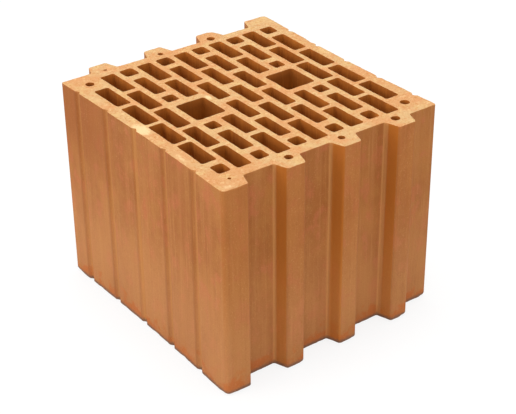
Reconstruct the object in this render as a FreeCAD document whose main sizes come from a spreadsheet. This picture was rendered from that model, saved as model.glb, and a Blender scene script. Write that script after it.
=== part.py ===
import FreeCAD, Part
import Sketcher
import math
import os

# Hollow clay block, extruded upright and fired in one piece, in millimetres.
# Z is up, and the origin is the middle of the bed face.
# X runs across the wall, from one plain face to the other.
# Y runs along the wall, from one keyed end to the other.
# The near half, at -Y, is modelled, and the far half is the near one after half a turn about Z.
# In firing the plain faces draw in a little towards mid length, and the outer cores go with them.

doc = FreeCAD.newDocument("HollowClayBlock")

# Driving dimensions
SIZES = (
    ("height", 219, "bed face to bed face"),
    ("thickness", 261, "plain face to plain face, across the wall"),
    ("length", 260, "recess floor to recess floor, along the wall"),
    ("edge_radius", 2.5, "upright edges of the outline"),
    ("waist", 2.8, "how far each plain face draws in at mid length"),
    ("tongue_width", 30, "at the root"),
    ("tongue_depth", 15, "root to tip"),
    ("tongue_flank", 5, "how far each flank leans inward"),
    ("tongue_play", 1, "beside a tongue, in a laid wall"),
    ("corner_play", 2, "beside the corner tongue, in a laid wall"),
    ("side_shell", 14.5, "plain face to the nearest cores"),
    ("end_shell", 12.8, "recess floor to the nearest cores"),
    ("ring_core_width", 15.4, "cores next to the shell"),
    ("ring_core_length", 42, "cores next to the shell"),
    ("core_width", 13.8, "cores inside the ring"),
    ("core_length", 40, "cores inside the ring"),
    ("core_radius", 2.5, "upright edges of every core"),
    ("end_core_length", 15.6, "short cores at the ends"),
    ("grip_width", 34, "grip hole, across the wall"),
    ("grip_length", 38, "grip hole, along the wall"),
    ("grip_radius", 4, "upright edges of a grip hole"),
    ("grip_web", 10, "grip hole to the short core beside it"),
    ("grip_core_length", 13.6, "short core beside a grip hole"),
    ("corner_hole", 9, "diameter, in the corners without a tongue"),
    ("tongue_hole", 8, "diameter, in a tongue"),
    ("pin_hole", 3.5, "diameter, in a corner tongue"),
    ("hole_inset", 16.5, "tongue tip to the middle of its hole"),
    ("groove_width", 8, "V groove, at the face"),
    ("groove_depth", 3, "V groove"),
)
sheet = doc.addObject("Spreadsheet::Sheet", "Sizes")
for line, (alias, size, note) in enumerate(SIZES, start=1):
    sheet.set("A%d" % line, alias)
    sheet.set("B%d" % line, str(size))
    sheet.set("C%d" % line, note)
    sheet.setAlias("B%d" % line, alias)
doc.recompute()

# Core lattice: eleven columns across the wall, whose rows shift by half a pitch from column to column
COLUMN_PITCH = "(Sizes.thickness - 2 * Sizes.side_shell - Sizes.ring_core_width) / 10"
ROW_PITCH = "(Sizes.length - 2 * Sizes.end_shell - Sizes.ring_core_length) / 4"
END_CORE_Y = "(Sizes.end_shell + Sizes.end_core_length / 2 - Sizes.length / 2)"
GRIP_CORE_Y = "(-Sizes.grip_length / 2 - Sizes.grip_web - Sizes.grip_core_length / 2)"

# Tongues: one at the corner of the plain face, and three more, each a pitch further
END_Y = "-Sizes.length / 2"
TONGUE_PITCH = "(Sizes.thickness + Sizes.tongue_play) / 4"
TONGUE_X = "(%s + Sizes.tongue_width / 2 - Sizes.thickness / 2)" % TONGUE_PITCH
CORNER_TONGUE_WIDTH = "(%s - Sizes.tongue_width - Sizes.tongue_play - Sizes.corner_play)" % TONGUE_PITCH
CORNER_TONGUE_X = "(%s / 2 - Sizes.thickness / 2)" % CORNER_TONGUE_WIDTH
TONGUE_HOLE_Y = "(Sizes.hole_inset - Sizes.tongue_depth - Sizes.length / 2)"

ORIGIN = (-1, 1)
ACROSS_AXIS, ALONG_AXIS = -1, -2
START, END, CENTRE = 1, 2, 3

block = doc.addObject("PartDesign::Body", "hollow_block")
block.Label = "hollow_block"


def times(steps, expression):
    return "%g * %s" % (steps, expression)


def drawn_in(x, y):
    """x, which is negative, moved in by its share of the waist: all of it on the plain face at mid length."""
    share = "%s / (Sizes.thickness / 2) ^ 2 * (1 - (%s / (Sizes.length / 2)) ^ 2)" % (x, y)
    return "(%s * (1 + Sizes.waist * %s))" % (x, share)


def number(expression):
    return float(sheet.evalExpression(expression))


def origin_feature(role):
    return next(feature for feature in block.Origin.OriginFeatures if feature.Role == role)


# Sketches

def sketch_at(name, x, y):
    """A sketch on the bed plane, with its own origin at x, y."""
    sketch = block.newObject("Sketcher::SketchObject", name)
    sketch.AttachmentSupport = [(origin_feature("XY_Plane"), "")]
    sketch.MapMode = "FlatFace"
    sketch.setExpression("AttachmentOffset.Base.x", x)
    sketch.setExpression("AttachmentOffset.Base.y", y)
    return sketch


def dimension(sketch, name, kind, where, expression):
    """A sketch dimension that follows the sheet."""
    index = sketch.addConstraint(Sketcher.Constraint(kind, *where, number(expression)))
    sketch.renameConstraint(index, name)
    sketch.setExpression("Constraints." + name, expression)


def polygon(sketch, corners):
    """Straight sides from corner to corner and back to the first."""
    points = [FreeCAD.Vector(x, y, 0) for x, y in corners]
    for start, end in zip(points, points[1:] + points[:1]):
        sketch.addGeometry(Part.LineSegment(start, end))
    for side in range(len(points)):
        sketch.addConstraint(Sketcher.Constraint("Coincident", side, END, (side + 1) % len(points), START))


def waisted(name, levels):
    """A section whose sides run straight from level to level, as far out as the plain faces are there."""
    sketch = sketch_at(name, "0", "0")
    rows = [(number(drawn_in("-Sizes.thickness / 2", y)), number(y)) for y in levels]
    polygon(sketch, [(-x, y) for x, y in rows] + [(x, y) for x, y in reversed(rows)])
    for right, y in enumerate(levels):
        left = 2 * len(levels) - 1 - right
        sketch.addConstraint(Sketcher.Constraint("Symmetric", left, START, right, START, ALONG_AXIS))
        dimension(sketch, "width_%d" % right, "DistanceX", (left, START, right, START),
                  times(-2, drawn_in("-Sizes.thickness / 2", y)))
        if number(y):
            dimension(sketch, "reach_%d" % right, "DistanceY", (right, START, *ORIGIN), times(-1, y))
        else:
            sketch.addConstraint(Sketcher.Constraint("PointOnObject", right, START, ACROSS_AXIS))
    return sketch


def rounded_rectangle(name, x, y, width, length, radius):
    """Four quarter arcs, from the lower right corner round to the lower left, and the sides between them."""
    sketch = sketch_at(name, x, y)
    r = number(radius)
    right = number(width) / 2 - r
    top = number(length) / 2 - r
    for turn, (centre_x, centre_y) in enumerate(((right, -top), (right, top), (-right, top), (-right, -top))):
        rounding = Part.Circle(FreeCAD.Vector(centre_x, centre_y, 0), FreeCAD.Vector(0, 0, 1), r)
        sketch.addGeometry(Part.ArcOfCircle(rounding, (turn - 1) * math.pi / 2, turn * math.pi / 2))
    for arc in range(4):
        sketch.addGeometry(Part.LineSegment(sketch.getPoint(arc, END), sketch.getPoint((arc + 1) % 4, START)))
    for arc in range(4):
        sketch.addConstraint(Sketcher.Constraint("Tangent", arc, END, arc + 4, START))
        sketch.addConstraint(Sketcher.Constraint("Tangent", arc + 4, END, (arc + 1) % 4, START))
    for side, direction in enumerate(("Vertical", "Horizontal", "Vertical", "Horizontal"), start=4):
        sketch.addConstraint(Sketcher.Constraint(direction, side))
    for arc in (1, 2, 3):
        sketch.addConstraint(Sketcher.Constraint("Equal", 0, arc))
    sketch.addConstraint(Sketcher.Constraint("Symmetric", 0, CENTRE, 2, CENTRE, *ORIGIN))
    dimension(sketch, "radius", "Radius", (0,), radius)
    dimension(sketch, "width", "DistanceX", (6, START, 4, START), width)
    dimension(sketch, "length", "DistanceY", (7, START, 5, START), length)
    return sketch


def circle(name, x, y, diameter):
    sketch = sketch_at(name, x, y)
    sketch.addGeometry(Part.Circle(FreeCAD.Vector(), FreeCAD.Vector(0, 0, 1), number(diameter) / 2))
    sketch.addConstraint(Sketcher.Constraint("Coincident", 0, CENTRE, *ORIGIN))
    dimension(sketch, "diameter", "Diameter", (0,), diameter)
    return sketch


def tooth(name, x, width, left_flank, right_flank):
    """A tongue's section: its root at x on the end face, its tip towards -Y, and flanks that lean inward."""
    sketch = sketch_at(name, x, END_Y)
    root = number(width) / 2
    tip = -number("Sizes.tongue_depth")
    left_tip = number(left_flank) - root
    right_tip = root - number(right_flank)
    polygon(sketch, [(root, 0), (-root, 0), (left_tip, tip), (right_tip, tip)])
    sketch.addConstraint(Sketcher.Constraint("Horizontal", 2))
    sketch.addConstraint(Sketcher.Constraint("Symmetric", 0, START, 0, END, *ORIGIN))
    dimension(sketch, "width", "DistanceX", (0, END, 0, START), width)
    dimension(sketch, "depth", "DistanceY", (1, END, 1, START), "Sizes.tongue_depth")
    dimension(sketch, "left_flank", "DistanceX", (1, START, 1, END), left_flank)
    dimension(sketch, "right_flank", "DistanceX", (3, START, 3, END), right_flank)
    return sketch


def diamond(name, x, y, width, length):
    """A section with its four points on the axes of the sketch."""
    sketch = sketch_at(name, x, y)
    half = number(length) / 2
    reach = number(width) / 2
    polygon(sketch, [(0, -half), (reach, 0), (0, half), (-reach, 0)])
    sketch.addConstraint(Sketcher.Constraint("Symmetric", 0, START, 2, START, *ORIGIN))
    sketch.addConstraint(Sketcher.Constraint("Symmetric", 1, START, 3, START, *ORIGIN))
    sketch.addConstraint(Sketcher.Constraint("PointOnObject", 0, START, ALONG_AXIS))
    sketch.addConstraint(Sketcher.Constraint("PointOnObject", 1, START, ACROSS_AXIS))
    dimension(sketch, "width", "DistanceX", (3, START, 1, START), width)
    dimension(sketch, "length", "DistanceY", (0, START, 2, START), length)
    return sketch


# Features

def finish(feature):
    feature.Refine = False
    feature.FuzzyTolerance = 0
    block.Tip = feature
    doc.recompute()
    return feature


def raise_up(sketch):
    """Clay over the sketch, from bed face to bed face."""
    pad = block.newObject("PartDesign::Pad", sketch.Name + "_pad")
    pad.Profile = sketch
    pad.setExpression("Length", "Sizes.height")
    return finish(pad)


def cut_through(sketch):
    """An opening over the sketch, from bed face to bed face."""
    pocket = block.newObject("PartDesign::Pocket", sketch.Name + "_cut")
    pocket.Profile = sketch
    pocket.Type = "ThroughAll"
    pocket.Reversed = True
    return finish(pocket)


def grid(feature, columns, column_step, rows=1, row_step="0"):
    """The feature again, to +X and to +Y."""
    pattern = block.newObject("PartDesign::LinearPattern", feature.Name + "_grid")
    pattern.Originals = [feature]
    pattern.Direction = (origin_feature("X_Axis"), [""])
    pattern.Occurrences = columns
    pattern.setExpression("Length", times(max(columns - 1, 1), column_step))
    pattern.Direction2 = (origin_feature("Y_Axis"), [""])
    pattern.Occurrences2 = rows
    pattern.setExpression("Length2", times(rows - 1, row_step))
    return finish(pattern)


# Outline of the near half: the plain block, its tongues, and then their upright edges rounded
GROOVE_ROWS = [times(row, ROW_PITCH) for row in (-2, -1, 0)]
raise_up(waisted("near_half", [END_Y] + GROOVE_ROWS))
grid(raise_up(tooth("tongue", TONGUE_X, "Sizes.tongue_width", "Sizes.tongue_flank", "Sizes.tongue_flank")),
     3, TONGUE_PITCH)
outline = raise_up(tooth("corner_tongue", CORNER_TONGUE_X, CORNER_TONGUE_WIDTH, "0", "Sizes.tongue_flank"))
outline.Refine = True
doc.recompute()


def is_rounded(edge):
    """Upright, from the end on, and not where the corner tongue carries on the plain face."""
    middle = edge.valueAt((edge.FirstParameter + edge.LastParameter) / 2)
    at_end = middle.y < number(END_Y) + 0.01
    on_face = abs(middle.x + number("Sizes.thickness / 2")) < 0.01 and middle.y > number(END_Y) - 0.01
    return abs(edge.tangentAt(edge.FirstParameter).z) > 0.99 and at_end and not on_face


rounded = block.newObject("PartDesign::Fillet", "rounded_edges")
rounded.Base = (outline, ["Edge%d" % place for place, edge in enumerate(outline.Shape.Edges, start=1)
                          if is_rounded(edge)])
rounded.setExpression("Radius", "Sizes.edge_radius")
finish(rounded)

# V grooves for the plaster, in line with the webs between the cores of the outer columns
# Each is the inner point of a diamond, whose middle is one groove depth outside the face.
for place, y in enumerate(GROOVE_ROWS, start=1):
    x = "(%s - Sizes.groove_depth)" % drawn_in("-Sizes.thickness / 2", y)
    section = diamond("groove_%d" % place, x, y, "4 * Sizes.groove_depth", "2 * Sizes.groove_width")
    grid(cut_through(section), 2, times(-2, x))

# Through cores, group by group
# Each group has its first column, its number of columns and the steps between them, and its rows likewise.
# Columns and rows count from the middle of the block, in pitches.
RING = ("Sizes.ring_core_width", "Sizes.ring_core_length", "Sizes.core_radius")
INNER = ("Sizes.core_width", "Sizes.core_length", "Sizes.core_radius")
GRIP = ("Sizes.grip_width", "Sizes.grip_length", "Sizes.grip_radius")
CORE_GROUPS = (
    ("end_row", RING, (-2, 3, 2), (-2, 1, 1)),
    ("grip_columns", INNER, (-3, 2, 6), (-1.5, 1, 1)),
    ("beside_grips", INNER, (-2, 2, 4), (-1, 1, 1)),
    ("inner_columns", INNER, (-1, 2, 2), (-1.5, 2, 1)),
    ("middle_column", INNER, (0, 1, 1), (-1, 2, 1)),
    ("grip_holes", GRIP, (-2.5, 2, 5), (0, 1, 1)),
)
for name, section, (column, columns, column_steps), (row, rows, row_steps) in CORE_GROUPS:
    first = rounded_rectangle(name, times(column, COLUMN_PITCH), times(row, ROW_PITCH), *section)
    grid(cut_through(first), columns, times(column_steps, COLUMN_PITCH), rows, times(row_steps, ROW_PITCH))

# The cores of the two outer columns at each face, which the waist moves row by row
OUTER_CORES = (("outer_end", -5, -1.5), ("outer_middle", -5, -0.5),
               ("second_end", -4, -2), ("second_next", -4, -1), ("second_middle", -4, 0))
for name, column, row in OUTER_CORES:
    y = times(row, ROW_PITCH)
    x = drawn_in(times(column, COLUMN_PITCH), y)
    grid(cut_through(rounded_rectangle(name, x, y, *RING)), 2, times(-2, x))

# Short cores beside the grip holes, and at the end of each odd column but the last, which has a round hole
grip_core = rounded_rectangle("grip_core", times(-3, COLUMN_PITCH), GRIP_CORE_Y, "Sizes.core_width",
                              "Sizes.grip_core_length", "Sizes.core_radius")
grid(cut_through(grip_core), 2, times(6, COLUMN_PITCH))
end_core = rounded_rectangle("end_core", times(-5, COLUMN_PITCH), END_CORE_Y, "Sizes.core_width",
                             "Sizes.end_core_length", "Sizes.core_radius")
grid(cut_through(end_core), 5, times(2, COLUMN_PITCH))
cut_through(circle("corner_hole", times(5, COLUMN_PITCH), END_CORE_Y, "Sizes.corner_hole"))

# Round holes that lighten the tongues
grid(cut_through(circle("tongue_hole", TONGUE_X, TONGUE_HOLE_Y, "Sizes.tongue_hole")), 3, TONGUE_PITCH)
cut_through(circle("pin_hole", CORNER_TONGUE_X, TONGUE_HOLE_Y, "Sizes.pin_hole"))

# The whole block
both_halves = block.newObject("PartDesign::PolarPattern", "both_halves")
both_halves.TransformMode = "Whole shape"
both_halves.Axis = (origin_feature("Z_Axis"), [""])
both_halves.Angle = 360
both_halves.Occurrences = 2
finish(both_halves)
both_halves.Refine = True
doc.recompute()

# Every object has to be sound before anything is written
for item in doc.Objects:
    if "Invalid" in item.State or "Error" in item.State:
        raise RuntimeError("%s could not be built" % item.Name)
if block.Shape.isNull() or not block.Shape.isValid() or len(block.Shape.Solids) != 1:
    raise RuntimeError("the block is not one sound solid")

os.makedirs("parts", exist_ok=True)
block.Shape.exportStep("parts/%s.step" % block.Label)
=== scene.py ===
import math

import bpy
import numpy as np
from mathutils import Matrix, Vector, geometry, kdtree, noise


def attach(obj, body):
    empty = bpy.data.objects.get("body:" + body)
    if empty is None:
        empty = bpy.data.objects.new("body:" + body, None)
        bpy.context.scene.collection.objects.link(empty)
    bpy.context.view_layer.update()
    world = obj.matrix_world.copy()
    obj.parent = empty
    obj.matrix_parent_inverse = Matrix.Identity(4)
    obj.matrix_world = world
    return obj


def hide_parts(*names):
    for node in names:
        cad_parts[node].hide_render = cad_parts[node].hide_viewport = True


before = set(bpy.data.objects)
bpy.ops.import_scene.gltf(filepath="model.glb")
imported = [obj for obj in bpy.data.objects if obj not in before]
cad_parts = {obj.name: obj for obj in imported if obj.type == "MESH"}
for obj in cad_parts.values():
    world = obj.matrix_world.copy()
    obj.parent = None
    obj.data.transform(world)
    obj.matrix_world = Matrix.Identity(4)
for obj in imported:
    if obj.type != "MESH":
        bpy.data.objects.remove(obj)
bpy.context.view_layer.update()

# Everything is worked out in millimetres and scaled once, when the mesh is made.
MM = 0.001

# The block as it stands in the photograph: X across the wall, Y along it, Z up
HEIGHT = 219.0
HALF_THICK = 130.5

# The waist: how far the plain faces draw in at mid length, and how far along Y it runs
BOW_LEFT, BOW_RIGHT = 2.4, 3.3
BOW_END = 128.0

# V grooves of the plain faces, in their order around the outline
GROOVE_HALF, GROOVE_DEEP = 4.0, 3.0
GROOVE_LIP_ROUND, GROOVE_BED_ROUND = 1.8, 0.8
GROOVES_LEFT = (102.0, 51.5, 1.7, -48.5, -97.5)
GROOVES_RIGHT = (-101.0, -50.0, 0.0, 47.0, 95.0)

# Each end from its corner tongue on: tips, then the recess floors after them
NEAR_TIPS, NEAR_FLOORS = (144.8, 145.0, 143.8, 145.0), (130.4, 129.2, 128.9, 130.2)
FAR_TIPS, FAR_FLOORS = (144.8, 145.0, 144.3, 145.0), (129.2, 128.6, 129.8, 131.6)

# The near end's corner tongue: where its tip and its root end
CORNER_TIP_X, CORNER_ROOT_X = -102.8, -98.0
CORNER_ROUND, CORNER_TIP_ROUND = 4.8, 2.8

# The other tongues: the middle of the first, and their reach to either side at root and tip
TONGUE_X, TONGUE_PITCH = -50.0, 65.5
ROOT_LEFT, ROOT_RIGHT, TIP_LEFT, TIP_RIGHT = 15.0, 15.2, 10.0, 10.3
ROOT_ROUND, TIP_ROUND, UPRIGHT_ROUND = 2.2, 3.2, 2.5

# Cores stand in columns across X, each second column shifted by half a row.
COLUMN_PITCH, ROW_PITCH = 21.66, 48.1

# Sizes of the cores: width, length and corner radius
WIDE_CORE, SLIM_CORE = (15.8, 42.4, 2.1), (14.0, 40.4, 2.1)
NEAR_END_CORE, FAR_END_CORE = (13.7, 14.8, 2.6), (15.2, 16.2, 2.8)
GRIP_SIDE_CORE = (12.8, 13.8, 2.0)
NEAR_END_Y, FAR_END_Y, GRIP_SIDE_Y = -109.2, 109.6, 35.8

# Grip holes: centre, width, length and corner radius
GRIPS = ((-54.3, -0.6, 33.4, 37.6, 3.0), (54.1, -0.2, 34.4, 38.2, 3.0))

# Round holes: centre and diameter
ROUND_HOLES = ((109.3, -109.2, 9.6), (-110.4, 110.1, 8.8), (-111.3, -127.8, 3.4),
               (-46.4, -128.0, 8.5), (14.9, -127.8, 7.0), (79.7, -128.6, 9.0),
               (48.6, 129.0, 8.8), (-14.7, 128.8, 6.0), (-80.4, 130.0, 3.6))
ROUND_HOLE_POINTS = 14

# How the cores differ: spread of their places along X and Y, and of their widths and lengths
SPREAD_X, SPREAD_Y, SPREAD_WIDTH, SPREAD_LENGTH = 0.25, 0.3, 0.3, 0.4

# How far the die's pins stand off their rows and columns, along X and along Y: each is a sum of
# 1, x, y, xy and yy times these, with the place in decimetres. The tongues' holes don't move.
DRIFT = ((0.3, 0.5, 0.27, 0.44, 0.48), (0.1, 0.0, -0.3, 0.0, 0.46))
DRIFT_END = 120.0

# About how long the sides of the loops' polygons are, and the steps in a corner's arc
OUTLINE_STEP, OPENING_STEP = 1.8, 3.6
OUTLINE_ARC, OPENING_ARC = 4, 3


# Plan curves. A loop is an array of points with the clay on its left.

def rounded(corners, steps):
    """The corners (x, y, radius), each turned into an arc."""
    points = []
    for i, (x, y, radius) in enumerate(corners):
        here = np.array((x, y))
        back = np.array(corners[i - 1][:2]) - here
        on = np.array(corners[(i + 1) % len(corners)][:2]) - here
        back, on = back / np.linalg.norm(back), on / np.linalg.norm(on)
        half = math.acos(float(np.clip(back @ on, -1, 1))) / 2
        middle = (back + on) / np.linalg.norm(back + on) * radius / math.sin(half)
        start = back * radius / math.tan(half) - middle
        end = on * radius / math.tan(half) - middle
        turn = math.atan2(start[0] * end[1] - start[1] * end[0], start @ end)
        for k in range(steps + 1):
            a = turn * k / steps
            spun = np.array((start[0] * math.cos(a) - start[1] * math.sin(a),
                             start[0] * math.sin(a) + start[1] * math.cos(a)))
            points.append(here + middle + spun)
    return np.array(points)


def spaced(loop, step):
    """The loop with its long sides divided."""
    points = []
    for start, end in zip(loop, np.roll(loop, -1, 0)):
        count = max(1, round(np.linalg.norm(end - start) / step))
        points.extend(start + (end - start) * k / count for k in range(count))
    return np.array(points)


def end_corners(tips, floors):
    """Corners of the near end, from the corner tongue to the corner without one."""
    corners = [(-HALF_THICK, -tips[0], CORNER_ROUND), (CORNER_TIP_X, -tips[0], CORNER_TIP_ROUND),
               (CORNER_ROOT_X, -floors[0], ROOT_ROUND)]
    for i, (tip, floor) in enumerate(zip(tips[1:], floors[1:])):
        x = TONGUE_X + i * TONGUE_PITCH
        corners += [(x - ROOT_LEFT, -floors[i], ROOT_ROUND), (x - TIP_LEFT, -tip, TIP_ROUND),
                    (x + TIP_RIGHT, -tip, TIP_ROUND), (x + ROOT_RIGHT, -floor, ROOT_ROUND)]
    return corners + [(HALF_THICK, -floors[3], UPRIGHT_ROUND)]


def groove_corners(x, centres):
    """Corners of the V grooves along the plain face at x, in the order of the centres."""
    half = math.copysign(GROOVE_HALF, centres[-1] - centres[0])
    bed = x - math.copysign(GROOVE_DEEP, x)
    corners = []
    for y in centres:
        corners += [(x, y - half, GROOVE_LIP_ROUND), (bed, y, GROOVE_BED_ROUND),
                    (x, y + half, GROOVE_LIP_ROUND)]
    return corners


def drawn_in(points):
    """The slight waist of the plain faces, which the outer cores follow."""
    x, y = points[:, 0], points[:, 1]
    bow = np.where(x < 0, BOW_LEFT, BOW_RIGHT) * np.clip(1 - (y / BOW_END) ** 2, 0, 1)
    return np.stack([x - np.sign(x) * bow * (np.abs(x) / HALF_THICK) ** 2, y], 1)


def drifted(loop):
    """An opening moved to where the die's pin really stands."""
    x, y = loop.mean(0) / 100
    if abs(y) > DRIFT_END / 100:
        return loop
    return loop + np.array(DRIFT) @ (1, x, y, x * y, y * y)


def outline():
    """The loop around the block."""
    near = end_corners(NEAR_TIPS, NEAR_FLOORS)
    far = [(-x, -y, radius) for x, y, radius in end_corners(FAR_TIPS, FAR_FLOORS)]
    corners = (near + groove_corners(HALF_THICK, GROOVES_RIGHT)
               + far + groove_corners(-HALF_THICK, GROOVES_LEFT))
    return drawn_in(spaced(rounded(corners, OUTLINE_ARC), OUTLINE_STEP))


def slot(x, y, width, length, radius):
    """A core's loop, clockwise, so that the clay is on its left."""
    wide, long = width / 2, length / 2
    corners = [(-wide, -long, radius), (-wide, long, radius),
               (wide, long, radius), (wide, -long, radius)]
    return spaced(rounded(corners, OPENING_ARC), OPENING_STEP) + (x, y)


def round_hole(x, y, diameter):
    angles = -np.arange(ROUND_HOLE_POINTS) * math.tau / ROUND_HOLE_POINTS
    return np.stack([np.cos(angles), np.sin(angles)], 1) * diameter / 2 + (x, y)


def openings():
    """Every opening's loop. Sizes differ a little from core to core, as the die's pins do."""
    rng = np.random.default_rng(11)
    loops = []

    def add(column, y, size):
        width, length, radius = size
        x, y = column * COLUMN_PITCH + rng.normal(0, SPREAD_X), y + rng.normal(0, SPREAD_Y)
        width, length = width + rng.normal(0, SPREAD_WIDTH), length + rng.normal(0, SPREAD_LENGTH)
        loops.append(slot(x, y, width, length, radius))

    for column in range(-5, 6):
        odd = column % 2 == 1
        for row in (-1.5, -0.5, 0.5, 1.5) if odd else (-2, -1, 0, 1, 2):
            at_grip = abs(column) in (2, 3) and abs(row) < 1
            at_edge = abs(column) >= 4 or abs(row) == 2
            if not at_grip:
                add(column, row * ROW_PITCH, WIDE_CORE if at_edge else SLIM_CORE)
        if abs(column) == 3:
            add(column, -GRIP_SIDE_Y, GRIP_SIDE_CORE)
            add(column, GRIP_SIDE_Y, GRIP_SIDE_CORE)
        if odd and column != 5:
            add(column, NEAR_END_Y, NEAR_END_CORE)
        if odd and column != -5:
            add(column, FAR_END_Y, FAR_END_CORE)
    loops += [slot(*hole) for hole in GRIPS]
    loops += [round_hole(*hole) for hole in ROUND_HOLES]
    return [drifted(drawn_in(loop)) for loop in loops]


def into_clay(loop):
    """Unit normals to the left of the loop."""
    along = np.roll(loop, -1, 0) - np.roll(loop, 1, 0)
    along /= np.linalg.norm(along, axis=1)[:, None]
    return np.stack([-along[:, 1], along[:, 0]], 1)


def eased(loop, normals, reach):
    """The normals averaged along the loop, so that a deep edge loss doesn't fold at a corner."""
    spans = np.linalg.norm(np.roll(loop, -1, 0) - np.roll(loop, 1, 0), axis=1) / 2
    steps = np.linalg.norm(np.roll(loop, -1, 0) - loop, axis=1)
    place, total = np.concatenate([[0], np.cumsum(steps)[:-1]]), steps.sum()
    gap = np.abs(place[:, None] - place[None, :])
    weight = np.exp(-(np.minimum(gap, total - gap) / reach) ** 2) * spans[None, :]
    smooth = weight @ normals
    return smooth / np.linalg.norm(smooth, axis=1)[:, None]


def inside(points, loop):
    """Which of the points are inside the loop, by counting crossings."""
    x, y = points[:, 0], points[:, 1]
    found = np.zeros(len(points), bool)
    for (x0, y0), (x1, y1) in zip(loop, np.roll(loop, -1, 0)):
        if y0 != y1:
            found ^= ((y0 > y) != (y1 > y)) & (x < (x1 - x0) * (y - y0) / (y1 - y0) + x0)
    return found


# Relief

# The reach along the outline over which its normals are averaged
OUTLINE_EASE = 3.5

# The outline comes first, then the openings.
LOOPS = [outline()] + openings()
NORMALS = [into_clay(loop) for loop in LOOPS]
NORMALS[0] = eased(LOOPS[0], NORMALS[0], OUTLINE_EASE)

# The wire-cut faces: least depth, then depth and size of torn grain, of drag and of fine grain
CUT_DEEP = 0.05
TORN_DEEP, TORN_SIZE = 0.35, 5.0
DRAG_DEEP, DRAG_WIDE, DRAG_LONG = 0.10, 3.0, 40.0
GRAIN_DEEP, GRAIN_SIZE = 0.16, 1.3
TOP_SEED, BED_SEED = 3.0, 71.0

# How far edges are rounded off, (bed, top), and what the unevenness leaves of it
OUTER_LOSS, OPENING_LOSS = (0.8, 0.75), (0.7, 0.55)
LEAST_LOSS, MOST_ROUND_HOLE_LOSS = 0.25, 1.2
UNEVEN, UNEVEN_SIZE, UNEVEN_FINE = 0.45, 7.0, 0.15

# Broken places on the edges: centre, reach and depth
CHIPS = (
    (-129, -6, 219, 9, 1.6), (-116, -145, 219, 8, 2.0), (-128, 112, 219, 6, 1.2),
    (-129, -97, 219, 7, 1.6), (-129, -144, 0, 12, 1.6), (-129, 84, 0, 5, 0.8),
    (-129, -20, 0, 6, 0.9), (-129, -70, 0, 5, 0.8), (-130, 131, 0, 13, 3.0),
    (130, -130, 0, 8, 2.4), (40, -145, 0, 6, 1.5), (-40, -145, 0, 5, 1.4),
    (129, 60, 219, 8, 1.6), (60, 145, 219, 6, 1.5), (100, 145, 0, 8, 2.0),
    (129, -20, 0, 9, 2.2), (90, -145, 0, 8, 2.2), (25, -145, 0, 6, 1.2),
)

# The drawn walls: depth, width and length of fine streaks, then depth, size and rise of the slow
# waves, and of those in the openings. The rise is how fast a wave changes with the height.
STREAK_DEEP, STREAK_WIDE, STREAK_LONG = 0.09, 2.4, 260.0
WAVE_DEEP, WAVE_SIZE, WAVE_RISE = 0.11, 60.0, 0.4
CORE_WAVE_DEEP, CORE_WAVE_SIZE, CORE_WAVE_RISE = 0.25, 22.0, 0.25

# Rings of a wall between its edges: how many, and how much closer near the cut faces
OUTER_RINGS, OPENING_RINGS = (32, 0.09), (7, 0.12)

# Rings of a rounded edge, from the cut face to the wall: shares of its loss inward and down
EDGE_SHARES = ((1.0, 0.0), (0.3, 0.3), (0.0, 1.0))


def fractal(x, y, z, size, octaves, seed):
    """Smooth noise between about -1 and 1, whose largest lumps are the given size."""
    return noise.fractal(Vector((x / size + seed, y / size, z / size)), 0.8, 2.1, octaves)


def level(top):
    """The nominal height of the top face or of the bed face."""
    return HEIGHT if top else 0.0


def bed_relief(x, y, top):
    """How deep the wire-cut face lies below a flat one: torn grain and shallow drag."""
    seed = TOP_SEED if top else BED_SEED
    torn = TORN_DEEP * max(0.0, fractal(x, y, 0, TORN_SIZE, octaves=4, seed=seed))
    drag = DRAG_DEEP * (1 + noise.noise(Vector((x / DRAG_WIDE, y / DRAG_LONG, seed))))
    grain = GRAIN_DEEP * abs(noise.noise(Vector((x / GRAIN_SIZE, y / GRAIN_SIZE, seed + 9))))
    return CUT_DEEP + torn + drag + grain


def cut_height(x, y, top):
    """The height of a wire-cut face at this point."""
    sunk = bed_relief(x, y, top)
    return HEIGHT - sunk if top else sunk


def chip(x, y, z):
    """Extra edge loss at the broken places."""
    lost = 0.0
    for cx, cy, cz, reach, deep in CHIPS:
        gap = math.dist((x, y, z), (cx, cy, cz)) / reach
        if gap < 1:
            lost = max(lost, deep * (1 - gap * gap))
    return lost


def edge_loss(number, x, y, top):
    """How far the edge of the outline or of an opening is rounded off at this point."""
    outer, z = number == 0, level(top)
    uneven = (UNEVEN * fractal(x, y, z, UNEVEN_SIZE, octaves=3, seed=20.0)
              + UNEVEN_FINE * noise.noise(Vector((x, y, z + 40.0))))
    loss = max(LEAST_LOSS, (OUTER_LOSS if outer else OPENING_LOSS)[top] + uneven)
    if outer:
        return loss + chip(x, y, z)
    return min(loss, MOST_ROUND_HOLE_LOSS) if len(LOOPS[number]) == ROUND_HOLE_POINTS else loss


def wall_wear(outer, x, y, z):
    """How far the drawn wall lies behind its nominal line: fine streaks and slow waves."""
    if not outer:
        z *= CORE_WAVE_RISE
        return CORE_WAVE_DEEP * fractal(x, y, z, CORE_WAVE_SIZE, octaves=2, seed=5.0)
    place = Vector((x / STREAK_WIDE, y / STREAK_WIDE, z / STREAK_LONG))
    wave = 1 + fractal(x, y, z * WAVE_RISE, WAVE_SIZE, octaves=2, seed=8.0)
    return STREAK_DEEP * (1 + noise.noise(place)) + WAVE_DEEP * wave


def ring_heights(outer):
    """Heights of the rings on a wall, closer together near the cut faces."""
    count, crowd = OUTER_RINGS if outer else OPENING_RINGS
    t = np.linspace(0, 1, count + 2)[1:-1]
    return HEIGHT * (t - crowd * np.sin(2 * math.pi * t))


# The mesh

# Numbers of the materials
DRAWN, CUT, CORE = 0, 1, 2

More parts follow.
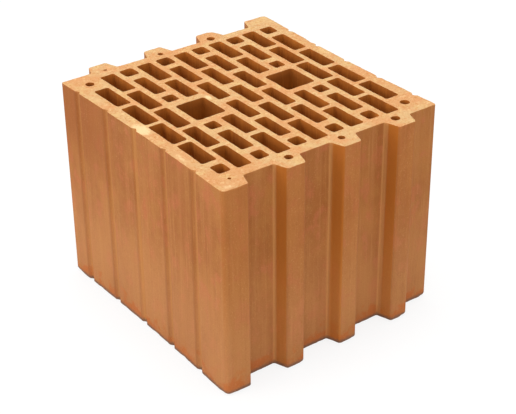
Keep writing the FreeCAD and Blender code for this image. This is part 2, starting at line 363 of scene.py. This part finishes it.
# The grid of a cut face: its reach along X and Y, its spacing on the top and on the bed, and the
# shares of that by which a point can be off its place and has to keep off a rim
GRID_X, GRID_Y = 130, 145
TOP_STEP, BED_STEP = 1.75, 2.3
GRID_JITTER, GRID_CLEAR = 0.3, 0.62


class Clay:
    """The growing mesh: vertices in millimetres, and faces with their material."""

    def __init__(self):
        self.points, self.faces, self.kinds = [], [], []

    def ring(self, points):
        """The numbers of the added points."""
        first = len(self.points)
        self.points.extend(points)
        return range(first, len(self.points))

    def face(self, corners, kind):
        self.faces.append(corners)
        self.kinds.append(kind)

    def band(self, low, high, kind):
        """Quads between a ring and the one above it."""
        for i in range(len(low)):
            j = (i + 1) % len(low)
            self.face((low[i], low[j], high[j], high[i]), kind)


clay = Clay()
rims = {True: [], False: []}


def wall(number):
    """A loop's wall with its rounded edges, from the bed face's rim to the top face's."""
    loop, normals, outer = LOOPS[number], NORMALS[number], number == 0
    losses = {top: [edge_loss(number, x, y, top) for x, y in loop] for top in (False, True)}

    def edge_ring(top, inward, down):
        """A ring of the rounded edge, from shares of its loss inward and down the wall."""
        points = []
        for (x, y), (nx, ny), loss in zip(loop, normals, losses[top]):
            back = loss * inward + wall_wear(outer, x, y, level(top)) * (1 - inward)
            px, py = x + nx * back, y + ny * back
            sunk = bed_relief(px, py, top) * (1 - down) + loss * down
            points.append((px, py, HEIGHT - sunk if top else sunk))
        return clay.ring(points)

    def wall_ring(z):
        points = []
        for (x, y), (nx, ny) in zip(loop, normals):
            wear = wall_wear(outer, x, y, z)
            points.append((x + nx * wear, y + ny * wear, z))
        return clay.ring(points)

    rings = [edge_ring(False, *shares) for shares in EDGE_SHARES]
    rings += [wall_ring(z) for z in ring_heights(outer)]
    rings += [edge_ring(True, *shares) for shares in reversed(EDGE_SHARES)]
    kinds = [CUT] + [DRAWN if outer else CORE] * (len(rings) - 3) + [CUT]
    for low, high, kind in zip(rings, rings[1:], kinds):
        clay.band(low, high, kind)
    rims[False].append(rings[0])
    rims[True].append(rings[-1])


def on_plan(numbers):
    return np.array([clay.points[v][:2] for v in numbers])


def grid_on_clay(top, step):
    """A slightly irregular grid of points on a cut face, clear of its rims."""
    rng = np.random.default_rng(5 if top else 6)
    x, y = np.meshgrid(np.arange(-GRID_X, GRID_X, step), np.arange(-GRID_Y, GRID_Y, step))
    grid = np.stack([x.ravel(), y.ravel()], 1)
    grid += rng.uniform(-GRID_JITTER, GRID_JITTER, grid.shape) * step
    keep = inside(grid, on_plan(rims[top][0]))
    for loop, rim in zip(LOOPS[1:], rims[top][1:]):
        low, high = loop.min(0) - 1, loop.max(0) + 1
        near = np.flatnonzero(keep & (grid > low).all(1) & (grid < high).all(1))
        keep[near[inside(grid[near], on_plan(rim))]] = False

    edge = on_plan([v for rim in rims[top] for v in rim])
    tree = kdtree.KDTree(len(edge))
    for i, (x, y) in enumerate(edge):
        tree.insert((x, y, 0), i)
    tree.balance()
    return [p for p in grid[keep] if tree.find((p[0], p[1], 0))[2] > GRID_CLEAR * step]


def cap(top, step):
    """A cut face: triangles between the rims, through the grid with the torn relief."""
    grid = grid_on_clay(top, step)
    numbers = [v for rim in rims[top] for v in rim]
    owner = [k for k, rim in enumerate(rims[top]) for _ in rim] + [-1] * len(grid)
    plan = [Vector(p) for p in on_plan(numbers)] + [Vector(p) for p in grid]
    numbers += clay.ring([(x, y, cut_height(x, y, top)) for x, y in grid])
    edges, first = [], 0
    for rim in rims[top]:
        edges += [(first + i, first + (i + 1) % len(rim)) for i in range(len(rim))]
        first += len(rim)
    _, _, triangles, source, _, _ = geometry.delaunay_2d_cdt(plan, edges, [], 0, 1e-6)

    # A triangle with all its corners on one rim can lie outside the block or in an opening.
    corners = np.array([[source[v][0] for v in triangle] for triangle in triangles])
    plan, owner = np.array([tuple(p) for p in plan]), np.array(owner)
    owners = owner[corners]
    same = (owners == owners[:, :1]).all(1) & (owners[:, 0] >= 0)
    solid, middles = ~same, plan[corners].mean(1)
    for k in set(owners[same, 0]):
        mine = np.flatnonzero(same & (owners[:, 0] == k))
        within = inside(middles[mine], plan[owner == k])
        solid[mine] = within if k == 0 else ~within
    for a, b, c in corners[solid]:
        (ax, ay), (bx, by), (cx, cy) = plan[a], plan[b], plan[c]
        counter = (bx - ax) * (cy - ay) - (by - ay) * (cx - ax) > 0
        if counter != top:
            b, c = c, b
        clay.face((numbers[a], numbers[b], numbers[c]), CUT)


for number in range(len(LOOPS)):
    wall(number)
cap(True, TOP_STEP)
cap(False, BED_STEP)


# Paint: where the materials change their tone, painted light and shade among it, as attributes of
# the mesh's points

# Lines of the plain faces, painted light and shade at the grooves: how far the painted shade line
# is from its groove, the half widths of that shade, of the painted highlight and of the pale line,
# and where along Y the plain faces end
LINE_SIDE, LINE_SHADE_HALF, LINE_HIGHLIGHT_HALF, LINE_PALE_HALF = 5.0, 2.0, 2.8, 3.6
PLAIN_END = 127.0

# Light lines at the tongues' left roots: the first one's place, their half width and outer end
ROOT_LINE_X, ROOT_LINE_HALF, ROOT_LINE_END = -64.6, 1.6, 132.5

# Painted shade on the left flanks: the first one's root, their half width, and the depths between
# which it's painted
FLANK_X, FLANK_Y, FLANK_HALF = -65.0, 130.0, 2.4
FLANK_FROM, FLANK_TO = 2.4, 13.2

# The box around a grip's walls, which get painted shade: its middle along X, and its half widths
GRIP_X, GRIP_BOX_X, GRIP_BOX_Y = 54.2, 19.0, 21.5

# Pale worn patches on the top face: centre, reach across and along, and share
WORN = ((-122.5, -3.0, 7.5, 12.5, 1.0), (-34.0, 14.5, 2.6, 5.5, 1.0),
        (-121.0, -139.0, 8.0, 5.0, 0.5), (-124.0, -72.0, 5.0, 15.0, 0.45),
        (-123.0, 74.0, 5.0, 12.0, 0.35), (124.0, 30.0, 5.0, 14.0, 0.4))
WORN_FROM = HEIGHT - 4


def bump(distance, half):
    """1 at the middle of a line, and fading over its half width."""
    return math.exp(-(distance / half) ** 2)


def groove_shading_and_root_lines(x, y, _):
    """Fine lines: a painted highlight in a groove, painted shade beside its lip, and light at a
    tongue's root.
    """
    if abs(y) < PLAIN_END:
        left = x < 0
        centres, past = (GROOVES_LEFT, -LINE_SIDE) if left else (GROOVES_RIGHT, LINE_SIDE)
        # The dark line is painted shade beside a groove's lip, and the light one is a painted
        # highlight in the groove.
        shade = max(bump(y - c + past, LINE_SHADE_HALF) for c in centres)
        highlight = 0.8 * max(bump(y - c, LINE_HIGHLIGHT_HALF) for c in centres)
        pale = 0.7 * bump(y - GROOVES_LEFT[2] - 1.0, LINE_PALE_HALF) if left else 0.0
        return highlight + pale - shade
    if abs(y) >= ROOT_LINE_END:
        return 0.0
    across = x if y < 0 else -x
    return max(bump(across - (ROOT_LINE_X + i * TONGUE_PITCH), ROOT_LINE_HALF) for i in range(3))


def painted_flank_shade(x, y, _):
    """Painted shade with bounced orange light on the tongues' left flanks at the near end, and on
    their likes at the far one.
    """
    out = abs(y) - FLANK_Y
    if out < FLANK_FROM or out > FLANK_TO:
        return 0.0
    across = x if y < 0 else -x
    gap = min(abs(across - (FLANK_X + i * TONGUE_PITCH + out / 3)) for i in range(3))
    return float(gap < FLANK_HALF)


def grip_shade(x, y, _):
    """The walls of the two grip holes, where painted shade makes them darker than the cores."""
    return float(abs(abs(x) - GRIP_X) < GRIP_BOX_X and abs(y) < GRIP_BOX_Y)


def worn(x, y, z):
    """The pale patches of the top face."""
    if z < WORN_FROM:
        return 0.0
    return max(share * math.exp(-((x - cx) / across) ** 2 - ((y - cy) / along) ** 2)
               for cx, cy, across, along, share in WORN)


mesh = bpy.data.meshes.new("block")
mesh.from_pydata([(x * MM, y * MM, z * MM) for x, y, z in clay.points], [], clay.faces)
mesh.polygons.foreach_set("material_index", clay.kinds)
mesh.polygons.foreach_set("use_smooth", [True] * len(clay.faces))
for tone in (groove_shading_and_root_lines, painted_flank_shade, grip_shade, worn):
    values = [tone(x, y, z) for x, y, z in clay.points]
    mesh.attributes.new(tone.__name__, "FLOAT", "POINT").data.foreach_set("value", values)
mesh.update()
block = bpy.data.objects.new("block", mesh)
bpy.context.scene.collection.objects.link(block)


# Materials. Their places and heights are in metres, and the sizes of noise in millimetres.

class Recipe:
    """A node material, written from its sockets inward."""

    def __init__(self, name):
        self.material = bpy.data.materials.new(name)
        self.material.use_nodes = True
        self.tree = self.material.node_tree
        self.shader = self.tree.nodes["Principled BSDF"]
        self.place = self.add("ShaderNodeTexCoord").outputs["Object"]

    def add(self, kind, sockets=(), **settings):
        node = self.tree.nodes.new(kind)
        for name, value in settings.items():
            setattr(node, name, value)
        for name, value in dict(sockets).items():
            self.set(node.inputs[name], value)
        return node

    def set(self, socket, value):
        """Links or writes the value."""
        if isinstance(value, bpy.types.NodeSocket):
            self.tree.links.new(value, socket)
        else:
            socket.default_value = value

    def noise(self, size, stretch=(1, 1, 1), detail=3.0, rough=0.55, shift=(0, 0, 0)):
        """Noise with lumps of the given size in millimetres, stretched along the axes."""
        scale = tuple(1 / s for s in stretch)
        place = self.add("ShaderNodeMapping",
                         {"Vector": self.place, "Location": shift, "Scale": scale}).outputs[0]
        lumps = {"Vector": place, "Scale": 1000 / size, "Detail": detail, "Roughness": rough}
        return self.add("ShaderNodeTexNoise", lumps).outputs[0]

    def range(self, value, low, high, to_low=0.0, to_high=1.0):
        """Goes smoothly between two levels while the value goes from low to high."""
        sockets = {"Value": value, "From Min": low, "From Max": high,
                   "To Min": to_low, "To Max": to_high}
        node = self.add("ShaderNodeMapRange", sockets, interpolation_type="SMOOTHSTEP")
        return node.outputs[0]

    def math(self, operation, a, b=0.0):
        node = self.add("ShaderNodeMath", operation=operation)
        self.set(node.inputs[0], a)
        self.set(node.inputs[1], b)
        return node.outputs[0]

    def times(self, a, b):
        return self.math("MULTIPLY", a, b)

    def mix(self, share, a, b):
        node = self.add("ShaderNodeMix", data_type="RGBA")
        self.set(node.inputs[0], share)
        self.set(node.inputs[6], a)
        self.set(node.inputs[7], b)
        return node.outputs[2]

    def tint(self, colour, value, low, high, share, tone):
        """The colour with up to a share of another tone, as the value goes from low to high."""
        return self.mix(self.range(value, low, high, 0.0, share), colour, tone)

    def attribute(self, name):
        return self.add("ShaderNodeAttribute", attribute_name=name).outputs["Fac"]

    def axis(self, name):
        return self.add("ShaderNodeSeparateXYZ", {0: self.place}).outputs[name]

    def finish(self, colour, roughness, height, distance):
        self.set(self.shader.inputs["Base Color"], colour)
        self.set(self.shader.inputs["Roughness"], roughness)
        self.set(self.shader.inputs["Specular IOR Level"], 0.25)
        relief = self.add("ShaderNodeBump", {"Height": height, "Distance": distance})
        self.set(self.shader.inputs["Normal"], relief.outputs[0])
        return self.material


def rgb(r, g, b):
    return (r, g, b, 1.0)


# Tones of the drawn walls, in linear light
BROWN, TAN = rgb(0.318, 0.104, 0.021), rgb(0.385, 0.142, 0.032)
SANDY, ROSE, OCHRE = rgb(0.425, 0.172, 0.058), rgb(0.430, 0.124, 0.044), rgb(0.380, 0.155, 0.034)
STREAK_DARK, STREAK_LIGHT = rgb(0.240, 0.070, 0.012), rgb(0.500, 0.225, 0.070)
SPECK_DARK, SPECK_LIGHT = rgb(0.270, 0.085, 0.018), rgb(0.540, 0.255, 0.090)
# Painted shade and painted highlight of the grooves' lines; the light tone also draws the tongues'
# root lines
LINE_SHADE, LINE_LIGHT = rgb(0.220, 0.062, 0.010), rgb(0.600, 0.280, 0.088)
# Painted shade with bounced orange light on the tongues' flanks, low and high
FLANK_SHADE_LOW, FLANK_SHADE_HIGH = rgb(0.530, 0.165, 0.012), rgb(0.390, 0.110, 0.006)
FAR_TOP_TONE, LOWER, TIP = rgb(0.290, 0.084, 0.017), rgb(0.485, 0.215, 0.080), rgb(0.370, 0.114, 0.021)
# The second tone is dust with painted contact shadow along the bed edge
FOOT, DUST_AND_CONTACT_SHADE = rgb(0.450, 0.120, 0.024), rgb(0.190, 0.102, 0.062)

# Tones of the cut faces
CUT_PINK, CUT_YELLOW = rgb(0.502, 0.256, 0.106), rgb(0.508, 0.315, 0.144)
CUT_RED, CUT_SANDY = rgb(0.518, 0.246, 0.102), rgb(0.545, 0.355, 0.150)
GRAIN_DARK, GRAIN_PALE = rgb(0.420, 0.160, 0.035), rgb(0.650, 0.450, 0.220)
WORN_PALE = rgb(0.700, 0.520, 0.280)

# Tones of the openings' walls
CORE_DARK, CORE_LIGHT = rgb(0.370, 0.098, 0.005), rgb(0.510, 0.148, 0.010)
# The rim tone is painted shade near the openings' top and bottom rims
CORE_STREAK, CORE_RIM_SHADE = rgb(0.590, 0.200, 0.022), rgb(0.190, 0.050, 0.006)
# Painted shade of the grip holes' walls
GRIP_SHADE = rgb(0.250, 0.062, 0.002)


def drawn_clay():
    """The outer walls: drawn clay, mottled and faintly streaked, redder at the bed edge, with
    painted highlights and shade at the grooves and painted shade on the tongues' flanks and at the
    bed edge.
    """
    m = Recipe("clay_drawn")
    fine = m.noise(2.2, (1, 1, 40))
    broad = m.noise(11, (1, 1, 16))
    cloud = m.noise(48, (1, 1, 1.5), 4.0, 0.6)
    mottle = m.noise(15, (1, 1, 1.3), 4.0, 0.6, (2, 5, 1))
    speck = m.noise(1.3, (1, 1, 1), 3.0, 0.6)
    height = m.axis("Z")
    colour = m.mix(m.range(cloud, 0.38, 0.62), BROWN, TAN)
    colour = m.tint(colour, broad, 0.42, 0.66, 0.46, SANDY)
    colour = m.tint(colour, mottle, 0.50, 0.66, 0.62, ROSE)
    colour = m.tint(colour, mottle, 0.48, 0.34, 0.35, OCHRE)
    colour = m.tint(colour, fine, 0.46, 0.30, 0.24, STREAK_DARK)
    colour = m.tint(colour, fine, 0.54, 0.72, 0.30, STREAK_LIGHT)

    # The left plain face is darker up at its far end. The walls are lighter lower down, that
    # face most of all, and the tongues' tips are darker higher up.
    plain = m.range(m.axis("X"), -0.1225, -0.1265)
    far_top = m.times(m.range(height, 0.120, 0.190), m.range(m.axis("Y"), 0.010, 0.090))
    colour = m.mix(m.times(m.times(far_top, plain), 0.75), colour, FAR_TOP_TONE)
    lower = m.times(m.range(height, 0.160, 0.030), m.range(plain, 0.0, 1.0, 0.36, 0.52))
    colour = m.mix(lower, colour, LOWER)
    tips = m.range(m.math("ABSOLUTE", m.axis("Y")), 0.1385, 0.1430)
    tips = m.times(tips, m.range(height, 0.040, 0.170, 0.0, 0.42))
    colour = m.mix(tips, colour, TIP)

    # The foot is redder up to a ragged line, and specks lie over all of this.
    ragged = m.math("ADD", height, m.range(m.noise(16, detail=4.0), 0.3, 0.7, -0.012, 0.012))
    colour = m.tint(colour, ragged, 0.017, 0.003, 0.78, FOOT)
    colour = m.tint(colour, speck, 0.56, 0.74, 0.50, SPECK_LIGHT)
    colour = m.tint(colour, speck, 0.44, 0.28, 0.40, SPECK_DARK)

    # Painted shade and painted highlights along the grooves, and light lines at the tongues' roots
    line = m.attribute("groove_shading_and_root_lines")
    colour = m.tint(colour, line, -0.10, -0.95, 0.40, LINE_SHADE)
    colour = m.tint(colour, line, 0.05, 0.8, 0.45, LINE_LIGHT)
    # Painted shade with bounced orange light on the tongues' flanks, more of it higher up
    flank_shade_share = m.times(m.attribute("painted_flank_shade"), m.range(height, 0.030, 0.150, 0.42, 0.80))
    colour = m.mix(flank_shade_share, colour, m.mix(m.range(height, 0.030, 0.150), FLANK_SHADE_LOW, FLANK_SHADE_HIGH))
    # Dust with painted contact shadow: a greyish band along the bed edge
    rim = m.math("ADD", height, m.range(speck, 0.3, 0.7, -0.0008, 0.0008))
    colour = m.tint(colour, rim, 0.0056, 0.0018, 0.88, DUST_AND_CONTACT_SHADE)
    relief = m.math("ADD", m.times(fine, 0.5), m.times(speck, 0.5))
    return m.finish(colour, m.range(broad, 0.3, 0.7, 0.76, 0.92), relief, 0.0004)


def cut_clay():
    """The wire-cut faces: pale, open grain, with yellow and pink patches."""
    m = Recipe("clay_cut")
    grain = m.noise(2.2, (1, 1, 1), 4.0, 0.7)
    spots = m.noise(3.6, (1, 1, 1), 4.0, 0.65, (3, 1, 0))
    patch = m.noise(50, (1, 1, 1), 3.0, 0.5, (0, 7, 0))
    tone = m.noise(15, (1, 1, 1), 4.0, 0.6, (5, 2, 0))
    colour = m.mix(m.range(patch, 0.40, 0.60), CUT_PINK, CUT_YELLOW)
    colour = m.tint(colour, tone, 0.50, 0.62, 0.75, CUT_RED)
    colour = m.tint(colour, tone, 0.46, 0.36, 0.65, CUT_SANDY)
    colour = m.tint(colour, grain, 0.50, 0.36, 0.65, GRAIN_DARK)
    colour = m.tint(colour, spots, 0.54, 0.68, 0.52, GRAIN_PALE)
    ragged = m.math("ADD", m.attribute("worn"), m.range(grain, 0.3, 0.7, 0.22, -0.22))
    colour = m.tint(colour, ragged, 0.25, 0.70, 0.75, WORN_PALE)
    relief = m.math("ADD", m.times(grain, 0.6), m.times(spots, 0.4))
    return m.finish(colour, 0.93, relief, 0.0007)


def core_clay():
    """The openings' walls: dull red-brown, faintly streaked, with painted shade near the rims and
    on the grip holes' walls.
    """
    m = Recipe("clay_core")
    fine = m.noise(2.2, (1, 1, 40))
    broad = m.noise(12, (1, 1, 8))
    height = m.axis("Z")
    colour = m.mix(m.range(broad, 0.35, 0.65), CORE_DARK, CORE_LIGHT)
    colour = m.tint(colour, fine, 0.50, 0.70, 0.50, CORE_STREAK)
    # Painted shade on the grip holes' walls
    colour = m.mix(m.times(m.attribute("grip_shade"), 0.42), colour, GRIP_SHADE)
    # Painted shade near the top and bottom rims of the openings
    rim = m.math("MAXIMUM", m.range(height, 0.200, 0.216), m.range(height, 0.019, 0.003))
    colour = m.mix(m.times(rim, 0.48), colour, CORE_RIM_SHADE)
    return m.finish(colour, 0.92, fine, 0.0004)


# In the order of DRAWN, CUT and CORE
for material in (drawn_clay(), cut_clay(), core_clay()):
    block.data.materials.append(material)

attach(block, "root")
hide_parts("hollow_block")


# Floor, light and camera, in metres

FLOOR_HALF, FLOOR_DROP = 6, 0.0005
FLOOR_COLOUR, FLOOR_GLOW = (0.86, 0.86, 0.85, 1), 0.83

# The white surroundings as they light the block, and as the camera sees them
WORLD_LIGHT, WORLD_SEEN = 0.55, 1.0

# Soft boxes: name, place, target, size, power in watts and colour
SOFT_BOXES = (
    ("key", (-2.1, 0.55, 1.35), (0, 0, 0.11), 1.4, 24, (1.0, 0.98, 0.95)),
    ("above", (0.1, 0.1, 2.4), (0, 0, 0.2), 1.8, 56, (1, 1, 1)),
    ("front", (-0.3, -2.4, 1.0), (0, 0, 0.11), 1.6, 11, (1, 1, 1)),
)

# The photograph's viewpoint: 1.48 m away, looking down by 30.4 degrees through a long lens
CAMERA_PLACE = (-0.72428, -1.00278, 0.81659)
CAMERA_HEADING, CAMERA_DOWN, CAMERA_ROLL = 53.664, 30.412, -0.558
SENSOR_WIDTH, FOCAL_LENGTH = 36.0, 98.3


def floor():
    """A white floor that keeps the block's shadow, and glows a little towards the camera."""
    h = FLOOR_HALF
    mesh = bpy.data.meshes.new("floor")
    mesh.from_pydata([(-h, -h, 0), (h, -h, 0), (h, h, 0), (-h, h, 0)], [], [(0, 1, 2, 3)])
    thing = bpy.data.objects.new("floor", mesh)
    bpy.context.scene.collection.objects.link(thing)
    thing.location.z = -FLOOR_DROP
    material = bpy.data.materials.new("floor_white")
    material.use_nodes = True
    tree = material.node_tree
    tree.nodes.remove(tree.nodes["Principled BSDF"])
    diffuse = tree.nodes.new("ShaderNodeBsdfDiffuse")
    diffuse.inputs["Color"].default_value = FLOOR_COLOUR
    glow = tree.nodes.new("ShaderNodeEmission")
    glow.inputs["Color"].default_value = (1, 1, 1, 1)
    path = tree.nodes.new("ShaderNodeLightPath")
    share = tree.nodes.new("ShaderNodeMath")
    share.operation = "MULTIPLY"
    share.inputs[1].default_value = FLOOR_GLOW
    mix = tree.nodes.new("ShaderNodeMixShader")
    tree.links.new(path.outputs["Is Camera Ray"], share.inputs[0])
    tree.links.new(share.outputs[0], mix.inputs[0])
    tree.links.new(diffuse.outputs[0], mix.inputs[1])
    tree.links.new(glow.outputs[0], mix.inputs[2])
    tree.links.new(mix.outputs[0], tree.nodes["Material Output"].inputs["Surface"])
    mesh.materials.append(material)


def soft_box(name, place, target, size, power, colour):
    lamp = bpy.data.lights.new(name, "AREA")
    lamp.shape = "SQUARE"
    lamp.size = size
    lamp.energy = power
    lamp.color = colour
    thing = bpy.data.objects.new(name, lamp)
    thing.location = place
    thing.rotation_euler = (Vector(target) - Vector(place)).to_track_quat("-Z", "Y").to_euler()
    bpy.context.scene.collection.objects.link(thing)


def studio():
    """White surroundings and the soft boxes."""
    world = bpy.data.worlds.new("studio")
    bpy.context.scene.world = world
    world.use_nodes = True
    tree = world.node_tree
    background = tree.nodes["Background"]
    path = tree.nodes.new("ShaderNodeLightPath")
    strength = tree.nodes.new("ShaderNodeMapRange")
    strength.inputs["To Min"].default_value = WORLD_LIGHT
    strength.inputs["To Max"].default_value = WORLD_SEEN
    tree.links.new(path.outputs["Is Camera Ray"], strength.inputs["Value"])
    background.inputs["Color"].default_value = (1, 1, 1, 1)
    tree.links.new(strength.outputs[0], background.inputs["Strength"])
    for box in SOFT_BOXES:
        soft_box(*box)


def camera():
    lens = bpy.data.cameras.new("camera")
    lens.sensor_width = SENSOR_WIDTH
    lens.lens = FOCAL_LENGTH
    thing = bpy.data.objects.new("camera", lens)
    bpy.context.scene.collection.objects.link(thing)
    thing.matrix_world = (Matrix.Translation(CAMERA_PLACE)
                          @ Matrix.Rotation(math.radians(CAMERA_HEADING - 90), 4, "Z")
                          @ Matrix.Rotation(math.radians(90 - CAMERA_DOWN), 4, "X")
                          @ Matrix.Rotation(math.radians(CAMERA_ROLL), 4, "Z"))
    bpy.context.scene.camera = thing


floor()
studio()
camera()
bpy.context.scene.view_settings.view_transform = "Standard"
